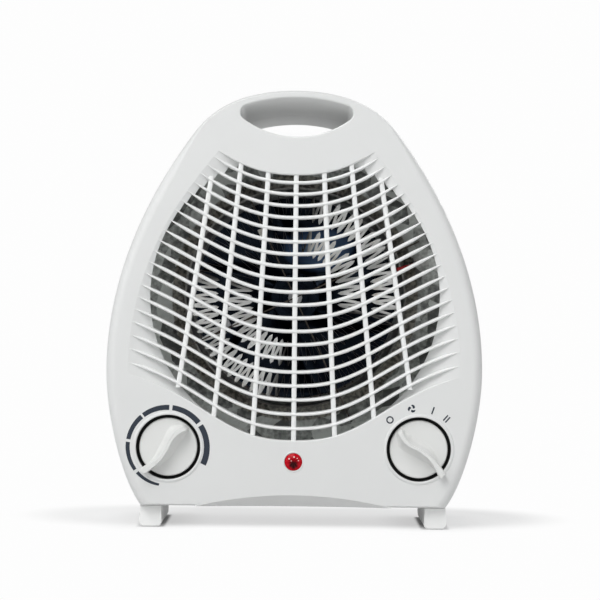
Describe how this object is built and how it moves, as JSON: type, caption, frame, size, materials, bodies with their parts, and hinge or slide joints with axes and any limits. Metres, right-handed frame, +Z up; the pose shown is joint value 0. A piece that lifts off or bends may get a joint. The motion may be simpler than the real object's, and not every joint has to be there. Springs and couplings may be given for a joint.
{
  "type": "portable fan heater",
  "caption": "Upright portable fan heater: rounded two-part plastic casing with a slanting handle opening, grille of sagging bars, pilot lamp and rotary controls.",
  "frame": {"origin": "on the floor, in the middle of the bounding box's underside", "axes": "+Z up, front faces -Y, +X to the right as seen from the front"},
  "size_m": [0.22, 0.115, 0.255],
  "materials": {
    "shell_plastic": "fine moulded texture, pale warm grey",
    "foot_plastic": "plain moulded, a little darker than the body",
    "knob_plastic": "smooth moulded",
    "lamp_red": "clear red lens, glossy",
    "lamp_white": "plain moulded",
    "galvanised_sheet": "galvanised, dull and streaky",
    "mica": "mica board, brownish with flakes",
    "nichrome": "bare resistance wire",
    "fan_plastic": "glossy very dark blue",
    "steel": "zinc-plated",
    "lamination": "stacked sheet edges",
    "copper_winding": "varnished copper",
    "ceramic": "unglazed",
    "switch_plastic": "plain moulded",
    "red_lead": "silicone sleeve",
    "black_rubber": "moulded rubber"
  },
  "bodies": {
    "casing": {"air_duct": "galvanised_sheet", "cord_gland": "black_rubber", "duct_screw_left": "steel", "duct_screw_right": "steel", "foot_left": "foot_plastic", "foot_right": "foot_plastic", "front_shell": "shell_plastic", "heater_lead": "red_lead", "heating_wire_inner": "nichrome", "heating_wire_outer": "nichrome", "lamp_body": "lamp_white", "lamp_lens": "lamp_red", "mica_board_cross": "mica", "mica_board_long": "mica", "motor_bracket_front": "steel", "motor_bracket_rear": "steel", "motor_coil": "copper_winding", "motor_screw_left": "steel", "motor_screw_right": "steel", "motor_stator": "lamination", "rear_shell": "shell_plastic", "selector_screw_1": "steel", "selector_screw_2": "steel", "selector_switch_body": "switch_plastic", "shell_screw_1": "steel", "shell_screw_2": "steel", "shell_screw_3": "steel", "shell_screw_4": "steel", "shell_screw_5": "steel", "shell_screw_6": "steel", "thermal_cutout": "ceramic", "thermal_fuse": "steel", "thermostat_body": "ceramic", "thermostat_screw_1": "steel", "thermostat_screw_2": "steel"},
    "thermostat": {"thermostat_knob": "knob_plastic", "thermostat_spindle": "steel"},
    "selector": {"selector_knob": "knob_plastic", "selector_spindle": "steel"},
    "fan": {"fan_impeller": "fan_plastic", "motor_shaft": "steel", "motor_rotor": "lamination", "fan_clip": "steel"}
  },
  "joints": [
    {"name": "thermostat_turn", "type": "hinge", "parent": "casing", "child": "thermostat", "pos_m": [-0.0726, -0.052, 0.0468], "axis": [0, 1, 0], "range_deg": [-213, 71]},
    {"name": "selector_turn", "type": "hinge", "parent": "casing", "child": "selector", "pos_m": [0.0726, -0.052, 0.0468], "axis": [0, 1, 0], "range_deg": [0, 88]},
    {"name": "fan_spin", "type": "hinge", "parent": "casing", "child": "fan", "pos_m": [0, -0.009, 0.134], "axis": [0, 1, 0], "continuous": true}
  ]
}
